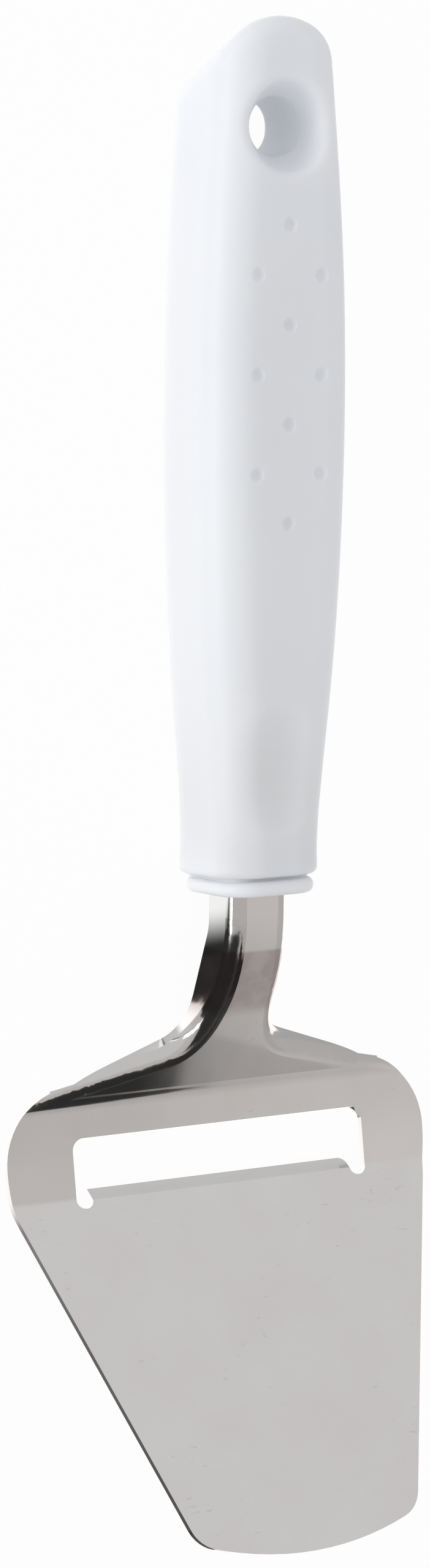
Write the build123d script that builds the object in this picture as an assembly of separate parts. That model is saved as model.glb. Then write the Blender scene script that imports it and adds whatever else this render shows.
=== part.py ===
from build123d import *
import os
from math import atan2, cos, radians, sin, sqrt, tan

# A cheese slicer: one stamped steel blade with its neck and tang, a moulded handle, and the plug
# that is moulded round the tang and closes the handle's mouth.
# X runs across, Y along the handle towards its butt and Z up from the table. The slicer lies on
# the handle's flat underside and on the blade's heel. Y is 0 at the handle's mouth while the
# pieces are made, and moves to the middle of the slicer at the end.

# Blade sheet and its bends, seen from the side, as slopes against the handle's length
sheet = 1.0
plate_slope = 30.1
bridge_slope = 10.0
ramp_slope = 31.5
plate_length = 55.8
bridge_length = 14.1
fold_radius = 4.0
heel_radius = 4.0
gooseneck_radius = 24.0
heel_y = -34.5
neck_height = 13.7

# Blade outline, measured along the sheet from the fold
blade_width = 70.9
tip_width = 36.8
tip_radius = 50.0
tip_corner_radius = 5.0
side_corner_y = 0.9
side_sweep_radius = 27.0
side_flat = 0.2
shoulder_radius = 11.0

# Slot behind the cutting edge
slot_width = 49.3
slot_reach = 9.1
slot_corner_radius = 1.8
notch_width = 2.7
notch_depth = 1.2
lip_length = 2.3
lip_slope = 60.0
lip_edge = 0.12
lip_corner_radius = 1.1

# Neck: a channel with leaning flanks that run out into the hips of the blade
neck_foot_width = 12.7
neck_crown_width = 9.3
hip_y = -21.2
hip_sweep = 19.6
hip_lean = 35.0
hip_foot_radius = 1.0
hip_crown_radius = 24.0
ridge_radius = 2.4
flank_drop = 2.0
hem_height = 1.6
hem_y = -25.0
hem_radius = 6.0
channel_depth = 6.2
channel_y = -8.7
tang_length = 46.0
key_hole = 4.0
key_pitch = 8.0
key_y = 4.5

# Handle
handle_length = 123.8
handle_depth = 20.0
handle_width = 23.2
handle_crown = 1.0
crown_y = 58.8
section_shares = (0.0, 0.136, 0.297, 0.459, 0.621, 0.782, 0.919, 1.03)
width_shares = (0.747, 0.79, 0.929, 0.996, 1.0, 0.927, 0.82, 0.731)
corner_radius = 5.8
mouth_lean = 3.5
mouth_round = 1.1
sole_cut = 0.05
butt_radius = 10.4
butt_slant = 24.0
butt_round = 2.5

# Pocket inside the handle
mouth_wall = 1.8
pocket_length = 88.0
pocket_draft = 0.5
pocket_corner_radius = 3.0

# Grip features in the handle's upper face
dimple_radius = 1.5
dimple_depth = 0.5
dimple_pitch = 7.0
dimple_offset = 5.2
dimple_y = 51.0
dimple_rows = 7
rest_x = -0.7
rest_y = 14.3
rest_length = 19.5
rest_width = 13.5
rest_depth = 1.0
rest_turn = 14.0
rest_round = 4.5
hang_hole = 8.4
hang_hole_setback = 17.1
hang_land = 9.8
hang_land_round = 1.5
hang_rim = 14.2
hang_rim_round = 1.4

# Plug in the handle's mouth
flange_thickness = 2.2
flange_inset = 0.9
flange_rise = 0.5
flange_round = 1.0
groove_width = 0.5
spigot_length = 18.0
fit = 0.1

# Overrun of the cutting shapes
past = 1.0

plate_reach = 3 * plate_length


def along(slope):
    """Unit vector in the side view, (Y, Z), rising towards the butt at this slope."""
    return Vector(cos(radians(slope)), sin(radians(slope)))


def side_view(depth):
    """Corners and bend radii of the surface that lies depth below the sheet's upper face."""
    half_turn, tilt = (ramp_slope + bridge_slope) / 2, (ramp_slope - bridge_slope) / 2
    heel_rise = heel_radius * (1 - cos(radians(tilt)) / cos(radians(half_turn)))
    heel = Vector(heel_y, sheet + heel_rise)
    fold = heel - along(-bridge_slope) * bridge_length
    tip = fold - along(-plate_slope) * plate_reach
    neck = Vector(heel.X + (neck_height - heel.Y) / tan(radians(ramp_slope)), neck_height)
    end = Vector(tang_length + past, neck_height)
    slopes = (-plate_slope, -bridge_slope, ramp_slope, 0)
    corners = [tip + along(slopes[0] - 90) * depth]
    for corner, before, after in zip((fold, heel, neck), slopes, slopes[1:]):
        square = along((before + after) / 2 - 90)
        corners.append(corner + square * (depth / cos(radians((after - before) / 2))))
    corners.append(end + along(-90) * depth)
    radii = (fold_radius + depth, heel_radius + depth, gooseneck_radius - depth)
    return corners, radii


def side_line(depth):
    corners, radii = side_view(depth)
    return FilletPolyline(*corners, radius=radii)


def below_sheet(depth):
    """Everything under the surface that lies depth below the sheet's upper face."""
    line = side_line(depth)
    first, last = line @ 0, line @ 1
    closing = Polyline(last, (last.X, -plate_reach), (first.X, -plate_reach), first)
    return extrude(Plane.YZ * make_face([line, closing]), blade_width, both=True)


def neck_half(height, inset):
    """Half the neck's width at one height, over flanks that are moved inwards by inset."""
    rise = (height + flank_drop) / (neck_height + flank_drop)
    flare = (neck_foot_width - neck_crown_width) / 2
    return neck_foot_width / 2 - flare * rise - inset * sqrt(1 + (flare / neck_height) ** 2)


def throat_section(height, inset):
    """Plan of the neck and hips at one height, with the flanks moved inwards by inset."""
    rise = (height + flank_drop) / (neck_height + flank_drop)
    half = neck_half(height, inset)
    radius = hip_foot_radius + (hip_crown_radius - hip_foot_radius) * rise + inset
    sweep, lean = tan(radians(hip_sweep)), tan(radians(hip_lean))
    hip = hip_y - height * lean - inset * sqrt(1 + sweep ** 2 + lean ** 2)
    wide = blade_width / 2 + past
    turn, low = hip - half * sweep, hip - wide * sweep
    start, end = heel_y - bridge_length, tang_length + (past if inset > 0 else 0)
    plan = Polyline((half, end), (half, turn), (wide, low), (wide, start), (-wide, start),
                    (-wide, low), (-half, turn), (-half, end), close=True)
    face = make_face(plan)
    corners = [v for v in face.vertices() if abs(v.Y - turn) < past / 10]
    return Pos(0, 0, height) * fillet(corners, radius)


def throat(inset):
    """The space inside the flanks, with the whole blade open in front of it."""
    sections = [throat_section(-flank_drop, inset), throat_section(neck_height + past, inset)]
    front = heel_y - bridge_length / 3
    ahead = Pos(0, front - plate_reach / 2, 0) * Box(2 * blade_width, plate_reach, 2 * plate_reach)
    return loft(sections, ruled=True) + ahead


def rounded_throat(inset):
    """What the sheet's face and flanks enclose, all moved inwards by inset, with a rounded ridge."""
    body = below_sheet(inset) & throat(inset)
    crest = Plane.YZ * side_line(inset)
    ridge = []
    for edge in body.edges():
        point = edge @ 0.5
        on_crest = crest.distance_to(Vertex(0, point.Y, point.Z)) < past / 1000
        if on_crest and past < abs(point.X) < blade_width / 2 and point.Y > heel_y - bridge_length / 4:
            ridge.append(edge)
    return fillet(ridge, ridge_radius - inset)


def blank_plane():
    """Plane through the fold that leans half way between plate and bridge."""
    fold = side_view(0)[0][1]
    up = along(90 - (plate_slope + bridge_slope) / 2)
    return Plane(origin=(0, fold.X, fold.Y), x_dir=(1, 0, 0), z_dir=(0, up.X, up.Y))


def on_blank(length):
    """A length along the plate or the bridge as the blank's plane shows it."""
    return length * cos(radians((plate_slope - bridge_slope) / 2))


def through_blank(sketch):
    return extrude(blank_plane() * sketch, 2 * plate_length, both=True)


def blade_outline():
    """Plate and shoulders; behind the shoulders it stays clear of the hips."""
    edge, tip = blade_width / 2, tip_width / 2
    tip_y = on_blank(-plate_length)
    corner_y = tip_y + tip_radius - sqrt(tip_radius ** 2 - tip ** 2)
    side_y = on_blank(side_corner_y)
    side_turn = atan2(edge - tip, side_y - corner_y)
    hip_turn = radians(90 - hip_sweep)
    hip_run = shoulder_radius * tan(hip_turn / 2)
    shoulder_y = side_y + side_sweep_radius * tan(side_turn / 2) + side_flat + hip_run
    hip = edge - (hip_run + side_flat) * sin(hip_turn)
    hip_end = shoulder_y + (hip_run + side_flat) * cos(hip_turn)
    tip_arc = ThreePointArc((-tip, corner_y), (0, tip_y), (tip, corner_y))
    sides = Polyline((tip, corner_y), (edge, side_y), (edge, shoulder_y), (hip, hip_end), (hip, plate_reach),
                     (-hip, plate_reach), (-hip, hip_end), (-edge, shoulder_y), (-edge, side_y),
                     (-tip, corner_y))
    outline = make_face([tip_arc, sides])
    for height, radius in ((corner_y, tip_corner_radius), (side_y, side_sweep_radius),
                           (shoulder_y, shoulder_radius)):
        corners = [v for v in outline.vertices() if abs(v.Y - height) < side_flat / 10]
        outline = fillet(corners, radius)
    return outline


def slot_opening():
    """The opening between the notches' floors and the bridge, before the lip goes in."""
    low, high = on_blank(-notch_depth), on_blank(slot_reach)
    opening = Pos(0, (low + high) / 2) * Rectangle(slot_width, high - low)
    opening = fillet(opening.vertices().group_by(Axis.Y)[-1], slot_corner_radius)
    return fillet(opening.vertices().group_by(Axis.Y)[0], notch_width / 2)


def lip():
    """The cutting edge: the plate's end between the notches, bent down and ground from below."""
    fold = side_view(0)[0][1]
    square = along(-(plate_slope + lip_slope) / 2 - 90)
    under_fold = fold + square * (sheet / cos(radians((lip_slope - plate_slope) / 2)))
    root = fold - along(-plate_slope) * (notch_depth + sheet)
    edge = fold + along(-lip_slope) * (lip_length + lip_edge)
    profile = Polyline(root, fold, edge, edge + along(-lip_slope - 90) * (lip_edge / 2), under_fold,
                       root + along(-plate_slope - 90) * sheet, close=True)
    bar = extrude(Plane.YZ * make_face(profile), slot_width / 2, both=True)
    low = on_blank(-notch_depth)
    end = lip_length * cos(radians(lip_slope - (plate_slope + bridge_slope) / 2))
    half, root_half = slot_width / 2 - notch_width, slot_width / 2
    plan = make_face(Polyline((root_half, low - sheet), (root_half, low), (half, low), (half, end),
                              (-half, end), (-half, low), (-root_half, low), (-root_half, low - sheet),
                              close=True))
    foot = [v for v in plan.vertices() if abs(v.Y - low) < lip_edge and abs(v.X) < root_half - lip_edge]
    plan = fillet(foot, notch_width / 2 - lip_edge)
    right_end = plan.vertices().group_by(Axis.Y)[-1].sort_by(Axis.X)[-1]
    return bar & through_blank(fillet(right_end, lip_corner_radius))


def below_hem():
    """The space under the flanks' lower edges, which starts along the underside of the ramp."""
    heel, low = side_view(sheet)[0][2], neck_height - channel_depth
    meet = heel.X + (hem_height - heel.Y) / tan(radians(ramp_slope))
    hem = FilletPolyline((heel.X, heel.Y - fit), (meet, hem_height - fit), (hem_y, hem_height),
                         (channel_y, low), (tang_length + past, low), radius=(0, hem_radius, hem_radius))
    closing = Polyline(hem @ 1, (tang_length + past, -neck_height), (heel.X, -neck_height), hem @ 0)
    return extrude(Plane.YZ * make_face([hem, closing]), blade_width, both=True)


def key_places():
    return [Pos(0, key_y + row * key_pitch, neck_height) for row in range(2)]


def blade():
    body = rounded_throat(0) - rounded_throat(sheet) - below_hem()
    body = body & through_blank(blade_outline())
    body = body - through_blank(slot_opening()) + lip()
    return body - [place * Cylinder(key_hole / 2, 4 * sheet) for place in key_places()]


def handle_half(share):
    """Half the handle's width at a share of its length, straight between the sections."""
    for start, end, low, high in zip(section_shares, section_shares[1:], width_shares, width_shares[1:]):
        if share <= end:
            return (low + (high - low) * (share - start) / (end - start)) * handle_width / 2


def handle_top(y):
    return handle_depth - handle_crown * ((y - crown_y) / crown_y) ** 2


def mouth_plane(ahead):
    """Plane at this distance ahead of the mouth; both lean back from the table upwards."""
    up = along(90 - mouth_lean)
    foot = -handle_top(0) * tan(radians(mouth_lean))
    return Plane(origin=(0, foot, 0), x_dir=(1, 0, 0), z_dir=(0, -up.Y, up.X)).offset(ahead)


def handle_section(share):
    """The handle's section, which reaches a little under the flat that it rests on."""
    y = share * handle_length
    half, top = handle_half(share), handle_top(y)
    outline = RectangleRounded(2 * half, top + sole_cut, corner_radius)
    plane = Plane.XZ.offset(-y) if share else mouth_plane(0)
    return plane * Pos(0, (top - sole_cut) / 2) * outline


def butt_reach():
    """What the rounded butt leaves: everything in front of a leaning round end."""
    centre = handle_length - butt_radius
    plan = Pos(0, centre) * Circle(butt_radius)
    plan += Pos(0, centre - handle_length / 2) * Rectangle(2 * handle_width, handle_length)
    lean = Vector(0, tan(radians(butt_slant)), 1)
    low = Pos(0, -(handle_depth + past) * lean.Y, -past) * plan
    return extrude(low, (lean * (handle_depth + 2 * past)).length, dir=lean.normalized())


def handle_form():
    """The handle's outside, with its mouth and butt rounded over and a flat underside."""
    form = loft([handle_section(share) for share in section_shares])
    mouth = form.faces().sort_by(Axis.Y)[0].edges()
    form = fillet(mouth, mouth_round)
    reach = butt_reach()
    cut = form & reach
    form = fillet(new_edges(form, reach, combined=cut), butt_round)
    under = Box(2 * handle_width, 2 * handle_length, handle_depth)
    return form - Pos(0, handle_length / 2, -handle_depth / 2) * under


def pocket_section(y, clearance):
    """The pocket's section, which narrows from the mouth by its draft; a clearance makes it less."""
    inset = mouth_wall + clearance + y * tan(radians(pocket_draft))
    half, top = handle_half(0) - inset, handle_top(0)
    outline = RectangleRounded(2 * half, top - 2 * inset, pocket_corner_radius)
    return Plane.XZ.offset(-y) * Pos(0, top / 2) * outline


def pocket():
    return loft([pocket_section(-2 * past, 0), pocket_section(pocket_length, 0)], ruled=True)


def hang_cutter():
    """The hanging hole: a straight land at mid depth that opens in a cone to a rim in each face."""
    land, rim, centre = hang_hole / 2, hang_rim / 2, handle_depth / 2
    low, high = centre - hang_land / 2, centre + hang_land / 2
    end = rim + past * (rim - land) / low
    profile = make_face(Polyline((0, -past), (end, -past), (land, low), (land, high),
                                 (end, handle_depth + past), (0, handle_depth + past), close=True))
    profile = fillet([v for v in profile.vertices() if abs(v.X - land) < fit], hang_land_round)
    return Pos(0, handle_length - hang_hole_setback, 0) * revolve(Plane.XZ * profile, Axis.Z)


def dimple_places():
    """One dimple on the middle line and a pair beside it, in turn up the handle."""
    places = []
    for row in range(dimple_rows):
        y = dimple_y + row * dimple_pitch
        for x in ((-dimple_offset, dimple_offset) if row % 2 else (0,)):
            places.append(Pos(x, y, handle_top(y) + dimple_radius - dimple_depth))
    return places


def thumb_rest():
    """A shallow oval hollow, struck with a different radius along and across the handle."""
    along_radius = (rest_length ** 2 / 4 + rest_depth ** 2) / (2 * rest_depth)
    across_radius = (rest_width ** 2 / 4 + rest_depth ** 2) / (2 * rest_depth)
    floor = handle_top(rest_y) - rest_depth
    axis = Axis((0, rest_y, floor + along_radius), (1, 0, 0))
    circle = Plane.XZ.offset(-rest_y) * Pos(0, floor + across_radius) * Circle(across_radius)
    return Pos(rest_x, 0, 0) * revolve(circle.rotate(axis, -rest_turn), axis, 2 * rest_turn)


def handle():
    body, hole, rest = handle_form() - pocket(), hang_cutter(), thumb_rest()
    pierced = body - hole
    rims = [edge for edge in new_edges(body, hole, combined=pierced) if edge.center().Z > handle_depth / 2]
    body = fillet(rims, hang_rim_round)
    hollowed = body - rest
    body = fillet(new_edges(body, rest, combined=hollowed), rest_round)
    return body - [place * Sphere(dimple_radius) for place in dimple_places()]


def channel(inset):
    """The tang's outer shape in section, moved inwards by inset, down to its lower edges."""
    low, top = neck_height - channel_depth - fit, neck_height - inset
    face = make_face(Polyline((neck_half(low, inset), low), (neck_half(top, inset), top),
                              (-neck_half(top, inset), top), (-neck_half(low, inset), low), close=True))
    return fillet(face.vertices().group_by(Axis.Y)[-1], ridge_radius - inset)


def plug():
    """Flange, groove and spigot in one moulding, round the tang and keyed through its holes."""
    top, half = handle_top(0), handle_half(0) - flange_inset
    start = groove_width + top * tan(radians(mouth_lean))
    spigot = loft([pocket_section(y, fit) for y in (-start, spigot_length)], ruled=True)
    rim = RectangleRounded(2 * half, top - 2 * flange_inset, corner_radius - flange_inset)
    flange = extrude(mouth_plane(groove_width) * Pos(0, top / 2 + flange_rise) * rim, flange_thickness)
    flat_faces = flange.faces().sort_by(SortBy.AREA)[-2:]
    flange = fillet(flat_faces.edges(), flange_round)
    slot = Plane.XZ.offset(start + flange_thickness + past) * (channel(-fit) - channel(sheet + fit))
    length = start + flange_thickness + spigot_length + 2 * past
    body = spigot + flange - extrude(slot, -length)
    pin = Cylinder(key_hole / 2 - fit, 2 * (sheet + 2 * fit))
    return body + [place * Pos(0, 0, -sheet / 2) * pin for place in key_places()]


pieces = {"blade": blade(), "handle": handle(), "tang_plug": plug()}
boxes = [piece.bounding_box() for piece in pieces.values()]
middle = (min(box.min.Y for box in boxes) + max(box.max.Y for box in boxes)) / 2
os.makedirs("parts", exist_ok=True)
for name, piece in pieces.items():
    export_step(Pos(0, -middle, 0) * piece, f"parts/{name}.step")
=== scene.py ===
from math import radians

import bpy
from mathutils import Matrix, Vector


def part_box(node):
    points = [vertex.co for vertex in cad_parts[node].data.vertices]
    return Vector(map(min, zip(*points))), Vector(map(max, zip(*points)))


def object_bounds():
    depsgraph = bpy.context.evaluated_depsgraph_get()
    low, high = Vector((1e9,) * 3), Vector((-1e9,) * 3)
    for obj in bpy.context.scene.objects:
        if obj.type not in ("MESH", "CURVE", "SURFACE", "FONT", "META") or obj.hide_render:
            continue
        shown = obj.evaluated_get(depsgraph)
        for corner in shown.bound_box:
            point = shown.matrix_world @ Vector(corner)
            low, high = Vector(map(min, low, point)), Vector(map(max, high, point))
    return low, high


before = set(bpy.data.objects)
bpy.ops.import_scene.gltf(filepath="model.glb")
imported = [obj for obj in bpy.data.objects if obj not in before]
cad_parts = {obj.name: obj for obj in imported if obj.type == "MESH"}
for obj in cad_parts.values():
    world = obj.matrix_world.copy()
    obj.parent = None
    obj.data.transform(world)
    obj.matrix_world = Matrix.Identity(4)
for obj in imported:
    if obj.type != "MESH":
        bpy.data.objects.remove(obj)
cad_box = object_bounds()

# Places and sizes are in metres: x runs across the blade, y along the handle to its butt, z up
# Colours are red, green, blue and opacity, and tones and lights are shares of white
# A pair named across, along or up is a span of x, y or z: something fades in from its first value to its
# second, and it stays beyond that
white = (1.0, 1.0, 1.0, 1.0)
black = (0.0, 0.0, 0.0, 1.0)

# Edges that places along the object are measured from
blade_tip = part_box("blade")[0].y
collar_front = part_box("tang_plug")[0].y

# Camera, fitted to the photograph: its turn is in degrees, its lens and film in millimetres
camera_place = (-0.2876, 0.0805, 0.50535)
camera_turn = (-8.288, -29.546, 0.574)
camera_lens = 91.4
film_height = 36.0

# Floor: matt grey that gives some light of its own and shows nearly white
floor_size = 6.0
floor_gap = 0.0001
floor_grey = (0.86, 0.86, 0.86, 1.0)
floor_shade = 0.04
floor_bounce = 0.50

# Light on matt surfaces: a softbox at the left, and a room that is lighter overhead than at its sides
softbox_width = 0.9
softbox_height = 0.3
softbox_watts = 4.5
softbox_place = (-1.25, 0.10, 0.16)
ceiling_light = 0.745
side_light = 0.71
ceiling_up = (0.1, 0.9)

# What the steel mirrors is painted by direction, so these spans are of a unit vector's x, y and z

# Walls: grey, lighter at the back, and darker at the left, at the right, at the front and low down
haze = 0.03
wall_tone = 0.66
back_rise = 0.04
back_rise_across = (0.8, 0.6)
back_rise_along = (0.1, 0.45)
left_fall = 0.08
left_fall_across = (0.495, 0.46)
left_fall_first_along = (0.30, 0.12)
left_fall_second_along = (0.0, -0.35)
right_fall = 0.13
right_fall_across = (0.58, 0.75)
front_share = 0.88
front_along = (-0.15, -0.60)
low_fall = 0.08
low_fall_across = (-0.1, 0.2)
low_fall_up = (0.2, -0.15)

# Table: white, and reaching higher up the walls at the front right
table_glow = 0.75
table_up = (-0.58, -0.72)
table_rise = 0.45
table_rise_across = (0.2, 0.5)
table_rise_along = (0.1, -0.2)

# Dark cards: one in front, and one at the left whose back edge is further forward higher up
front_card = 0.93
front_card_across = (0.480, 0.461)
front_card_along = (-0.50, -0.62)
left_card_across = (-0.10, -0.45)
left_card_along = (-0.01, -0.07)
left_card_up = (-0.82, -0.76)
left_card_lean = 0.26
left_card_lean_up = (-0.5, 0.1)

# Tint of all that: warmer at the front than at the back
front_tint = (1.05, 1.0, 0.975, 1.0)
back_tint = (1.02, 0.99, 1.0, 1.0)
tint_along = (0.05, 0.40)

# White card that lies beside the neck, dark at its front end: its y is from the collar's front
white_card_corners = ((-0.060, -0.0108, 0), (-0.004, -0.0108, 0), (-0.004, 0.0062, 0), (-0.060, 0.0062, 0))
white_card_along = (-0.0098, -0.0036)
white_card_light = 1.28

# Grey card that stands under the slot's back edge: its y is from the blade's tip
slot_card_corners = ((-0.024, 0.0559, 0.0003), (0.026, 0.0559, 0.0003),
                     (0.026, 0.0559, 0.0022), (-0.024, 0.0559, 0.0022))
slot_card_light = 0.66

# Black card that hangs level above the plate: its y is from the blade's tip
black_card_height = 0.102
black_card_outline = ((-0.006, 0.0575), (0.004, 0.0515), (0.020, 0.0245), (0.034, 0.0115), (0.045, -0.0005),
                      (0.058, -0.0155), (0.082, -0.0555), (0.092, -0.0885), (0.060, -0.1205),
                      (-0.010, -0.1205), (-0.010, 0.0295))
black_card_light = 0.03

# Steel: two greys, with painted shade that darkens it from the slot back, which is measured from the blade's
# tip
steel_dark = (0.735, 0.73, 0.72, 1.0)
steel_light = (0.76, 0.755, 0.75, 1.0)
heel_painted_shade = 0.08
heel_along = (0.0495, 0.0605)

# Steel: brown on the bent neck, which is measured from the collar's front, and small dark marks
stain_colour = (0.49, 0.445, 0.43, 1.0)
stain_back_along = (-0.0076, -0.0082)
stain_front_along = (-0.0188, -0.0163)
stain_least = 0.7
mark_colour = (0.30, 0.27, 0.25, 1.0)
mark_depth = 0.18

# Steel: how wide the noise's spots are, how they are stretched, and the span of the noise that shows
line_width = 0.0012
line_stretch = (1.0, 0.04, 0.04)
wave_width = 0.007
wave_stretch = (1.0, 0.5, 0.5)
mottle_width = 0.009
mottle_span = (0.3, 0.7)
scuff_width = 0.0016
scuff_stretch = (1.0, 0.25, 0.25)
scuff_span = (0.70, 0.80)
stain_width = 0.004
stain_span = (0.35, 0.6)
mark_width = 0.0008
mark_stretch = (0.4, 1.0, 1.0)
mark_span = (0.66, 0.74)
worn_width = 0.012
worn_span = (0.50, 0.62)

# Steel: roughness, and the relief of the waves with the lines on them
steel_roughness = 0.07
line_roughness = 0.015
mottle_roughness = 0.04
scuff_roughness = 0.06
line_height = 0.04
steel_relief = 0.000015

# Plastic: satin, a little cloudy and translucent, with a fine spark-eroded skin
plastic_dark = (0.84, 0.86, 0.90, 1.0)
plastic_light = (0.855, 0.875, 0.91, 1.0)
cloud_width = 0.02
cloud_span = (0.3, 0.7)
skin_width = 0.0005
skin_strength = 0.08
skin_relief = 0.0001
plastic_roughness = 0.42
skin_roughness = 0.08
plastic_ior = 1.46
light_inside = 0.6
light_depth = 0.004

# Curved faces are shaded smooth where their facets meet at less than this, in degrees
sharp_angle = 28.0


class Socket:
    """A node's output; maths on it adds Math nodes."""

    def __init__(self, shader, output):
        self.shader = shader
        self.output = output

    def maths(self, operation, first, second):
        return self.shader.add("ShaderNodeMath", {"operation": operation}, {0: first, 1: second})

    def __add__(self, other):
        return self.maths("ADD", self, other)

    def __sub__(self, other):
        return self.maths("SUBTRACT", self, other)

    def __rsub__(self, other):
        return self.maths("SUBTRACT", other, self)

    def __mul__(self, other):
        return self.maths("MULTIPLY", self, other)

    __radd__ = __add__
    __rmul__ = __mul__


class Shader:
    """The node tree of a material or the world."""

    def __init__(self, owner):
        owner.use_nodes = True
        self.tree = owner.node_tree
        self.tree.nodes.clear()

    def add(self, kind, settings=None, values=None, out=0):
        """Adds a node: its settings first, then the values or links of its sockets."""
        node = self.tree.nodes.new(kind)
        for name, setting in (settings or {}).items():
            setattr(node, name, setting)
        for name, value in (values or {}).items():
            if isinstance(value, Socket):
                self.tree.links.new(value.output, node.inputs[name])
            else:
                node.inputs[name].default_value = value
        return Socket(self, node.outputs[out]) if node.outputs else None

    def spot(self, kind="Object"):
        """A place on the object in metres; in the world, "Generated" gives a direction instead."""
        return self.add("ShaderNodeTexCoord", out=kind)

    def axis(self, vector, letter):
        """One of a vector's X, Y and Z."""
        return self.add("ShaderNodeSeparateXYZ", values={"Vector": vector}, out=letter)

    def noise(self, width, stretch=(1.0, 1.0, 1.0), detail=2.0):
        """Soft noise between 0 and 1: spots about width across, and longer where the stretch is small."""
        place = self.add("ShaderNodeMapping", values={"Vector": self.spot(), "Scale": stretch})
        return self.add("ShaderNodeTexNoise", values={"Vector": place, "Scale": 1 / width, "Detail": detail})

    def fade(self, value, span, ends=(0.0, 1.0)):
        """Goes softly from the first to the second of ends while value goes through span."""
        (low, high), (first, last) = span, ends
        limits = {"Value": value, "From Min": low, "From Max": high, "To Min": first, "To Max": last}
        return self.add("ShaderNodeMapRange", {"interpolation_type": "SMOOTHSTEP"}, limits)

    def blend(self, factor, first, second):
        """Mixes two colours."""
        return self.add("ShaderNodeMix", {"data_type": "RGBA"}, {0: factor, 6: first, 7: second}, out=2)

    def mix(self, factor, first, second):
        """Mixes two shaders."""
        return self.add("ShaderNodeMixShader", values={0: factor, 1: first, 2: second})

    def glow(self, light=1.0):
        """White light of its own."""
        return self.add("ShaderNodeEmission", values={"Color": white, "Strength": light})

    def ray(self, kind):
        """1 for one kind of ray, 0 for the others."""
        return self.add("ShaderNodeLightPath", out=kind)

    def seen(self):
        """1 for the rays that see the background: from the camera, and through glass."""
        return self.ray("Is Camera Ray") + self.ray("Is Transmission Ray")

    def finish(self, surface, kind="ShaderNodeOutputMaterial"):
        self.add(kind, values={"Surface": surface})


def steel_colour(shader, mottle):
    """Grey with a soft mottle, a heel darkened by painted shade, a brown neck and small dark marks where it
    is worn.
    """
    along = shader.axis(shader.spot(), "Y")
    base = shader.blend(shader.fade(mottle, mottle_span), steel_dark, steel_light)
    # Painted shade: the steel is darkened towards black from the slot back
    base = shader.blend(heel_painted_shade * shader.fade(along - blade_tip, heel_along), base, black)
    from_collar = along - collar_front
    stain = shader.fade(from_collar, stain_back_along) * shader.fade(from_collar, stain_front_along)
    stain = stain * shader.fade(shader.noise(stain_width), stain_span, (stain_least, 1.0))
    base = shader.blend(stain, base, stain_colour)
    marks = shader.fade(shader.noise(mark_width, mark_stretch), mark_span)
    worn = shader.fade(shader.noise(worn_width), worn_span)
    return shader.blend(mark_depth * marks * worn, base, mark_colour)


def brushed_steel():
    """Polished stainless sheet with faint drawn lines, small scuffs and a soft mottle."""
    material = bpy.data.materials.new("brushed_steel")
    shader = Shader(material)
    lines = shader.noise(line_width, line_stretch)
    waves = shader.noise(wave_width, wave_stretch, detail=1.0)
    mottle = shader.noise(mottle_width, detail=3.0)
    scuffs = shader.fade(shader.noise(scuff_width, scuff_stretch, detail=1.0), scuff_span)
    roughness = steel_roughness + line_roughness * lines
    roughness = roughness + mottle_roughness * mottle + scuff_roughness * scuffs
    relief = {"Height": waves + line_height * lines, "Distance": steel_relief}
    shader.finish(shader.add("ShaderNodeBsdfPrincipled", values={
        "Base Color": steel_colour(shader, mottle), "Metallic": 1.0, "Roughness": roughness,
        "Normal": shader.add("ShaderNodeBump", values=relief)}))
    return material


def white_plastic():
    """Satin white moulding with a fine spark-eroded skin."""
    material = bpy.data.materials.new("white_plastic")
    shader = Shader(material)
    skin = shader.noise(skin_width)
    cloud = shader.fade(shader.noise(cloud_width), cloud_span)
    relief = {"Height": skin, "Strength": skin_strength, "Distance": skin_relief}
    shader.finish(shader.add("ShaderNodeBsdfPrincipled", values={
        "Base Color": shader.blend(cloud, plastic_dark, plastic_light),
        "Roughness": plastic_roughness + skin_roughness * skin, "IOR": plastic_ior,
        "Normal": shader.add("ShaderNodeBump", values=relief),
        "Subsurface Weight": light_inside, "Subsurface Radius": (1, 1, 1), "Subsurface Scale": light_depth}))
    return material


def dress(node, material):
    """Gives a CAD node its material and smooth shading over its curved faces."""
    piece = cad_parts[node]
    piece.data.materials.clear()
    piece.data.materials.append(material)
    piece.data.shade_smooth()
    piece.data.set_sharp_from_angle(angle=radians(sharp_angle))


def add_flat(name, corners):
    """Adds one flat face that isn't part of the object, and returns it with its shader."""
    mesh = bpy.data.meshes.new(name)
    mesh.from_pydata(corners, [], [range(len(corners))])
    flat = bpy.data.objects.new(name, mesh)
    bpy.context.scene.collection.objects.link(flat)
    material = bpy.data.materials.new(name)
    mesh.materials.append(material)
    return flat, Shader(material)


def add_floor():
    """A large pale floor that shows white and keeps a faint shadow."""
    half = floor_size / 2
    corners = [(-half, -half, 0), (half, -half, 0), (half, half, 0), (-half, half, 0)]
    floor, shader = add_flat("floor", corners)
    floor.location.z = cad_box[0].z - floor_gap
    floor.visible_glossy = False
    matt = shader.add("ShaderNodeBsdfDiffuse", values={"Color": floor_grey})
    share = floor_bounce + shader.seen() * (1 - floor_shade - floor_bounce)
    shader.finish(shader.mix(share, matt, shader.glow()))


def add_card(name, corners, start, light, lit_along=None):
    """A small flat card that only mirrors see: its y counts from start, and it may be lit from a span on."""
    card, shader = add_flat(name, corners)
    card.location.y = start
    card.visible_camera = card.visible_diffuse = card.visible_shadow = False
    glow = shader.glow(light)
    if lit_along:
        lit = shader.fade(shader.axis(shader.spot(), "Y"), lit_along)
        glow = shader.mix(lit, shader.glow(black_card_light), glow)
    shader.finish(glow)


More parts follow.
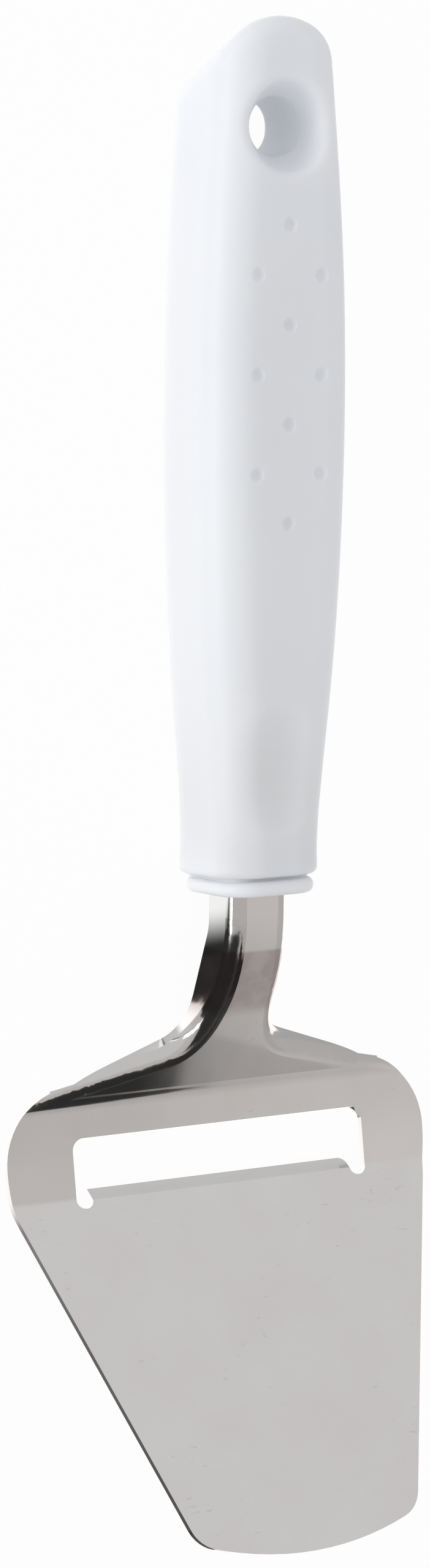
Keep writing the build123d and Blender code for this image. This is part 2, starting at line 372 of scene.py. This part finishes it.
def mirrored_studio(shader, x, y, z):
    """The grey walls, white table and dark cards that the steel mirrors in the direction x, y, z."""
    walls = wall_tone + back_rise * shader.fade(y, back_rise_along) * shader.fade(x, back_rise_across)
    steps = shader.fade(y, left_fall_first_along) + shader.fade(y, left_fall_second_along)
    walls = walls - left_fall * shader.fade(x, left_fall_across) * steps
    walls = walls - right_fall * shader.fade(x, right_fall_across)
    walls = walls * shader.fade(y, front_along, (1.0, front_share))
    walls = walls * (1 - low_fall * shader.fade(z, low_fall_up) * shader.fade(x, low_fall_across))
    rise = shader.fade(x, table_rise_across, (0.0, table_rise)) * shader.fade(y, table_rise_along)
    walls = walls + table_glow * shader.fade(z - rise, table_up)
    front = shader.fade(x, front_card_across) * shader.fade(y, front_card_along)
    leaning = y + shader.fade(z, left_card_lean_up, (0.0, left_card_lean))
    left = shader.fade(x, left_card_across) * shader.fade(leaning, left_card_along)
    left = left * shader.fade(z, left_card_up)
    tone = haze + walls * (1 - front_card * front) * (1 - left)
    tint = shader.blend(shader.fade(y, tint_along), front_tint, back_tint)
    return shader.add("ShaderNodeVectorMath", {"operation": "SCALE"}, {0: tint, "Scale": tone})


def add_world():
    """White behind the object, even light for matt surfaces and a studio that metal mirrors."""
    world = bpy.data.worlds.new("studio")
    bpy.context.scene.world = world
    shader = Shader(world)
    way = shader.spot("Generated")
    x, y, z = (shader.axis(way, letter) for letter in "XYZ")
    room = shader.fade(z, ceiling_up, (side_light, ceiling_light))
    even = shader.add("ShaderNodeCombineColor", values={"Red": room, "Green": room, "Blue": room})
    shown = shader.blend(shader.ray("Is Glossy Ray"), even, mirrored_studio(shader, x, y, z))
    shown = shader.blend(shader.seen(), shown, white)
    shader.finish(shader.add("ShaderNodeBackground", values={"Color": shown}), "ShaderNodeOutputWorld")


def stand(name, data, place, turn):
    """Stands a lamp or the camera in its place."""
    stood = bpy.data.objects.new(name, data)
    stood.location = place
    stood.rotation_euler = turn
    bpy.context.scene.collection.objects.link(stood)
    return stood


def add_softbox():
    """The main light: a wide soft box low on the left, turned to the middle of the object."""
    lamp = bpy.data.lights.new("softbox", "AREA")
    lamp.shape = "RECTANGLE"
    lamp.size = softbox_width
    lamp.size_y = softbox_height
    lamp.energy = softbox_watts
    turn = (-Vector(softbox_place)).to_track_quat("-Z", "Y").to_euler()
    stand("softbox", lamp, softbox_place, turn)


def add_camera():
    camera = bpy.data.cameras.new("camera")
    camera.sensor_fit = "VERTICAL"
    camera.sensor_height = film_height
    camera.lens = camera_lens
    turn = [radians(angle) for angle in camera_turn]
    bpy.context.scene.camera = stand("camera", camera, camera_place, turn)


steel = brushed_steel()
plastic = white_plastic()
dress("blade", steel)
dress("handle", plastic)
dress("tang_plug", plastic)
add_floor()
add_world()
black_card_corners = [(x, y, black_card_height) for x, y in black_card_outline]
add_card("white_card", white_card_corners, collar_front, white_card_light, white_card_along)
add_card("slot_card", slot_card_corners, blade_tip, slot_card_light)
add_card("black_card", black_card_corners, blade_tip, black_card_light)
add_softbox()
add_camera()
bpy.context.scene.view_settings.view_transform = "Standard"
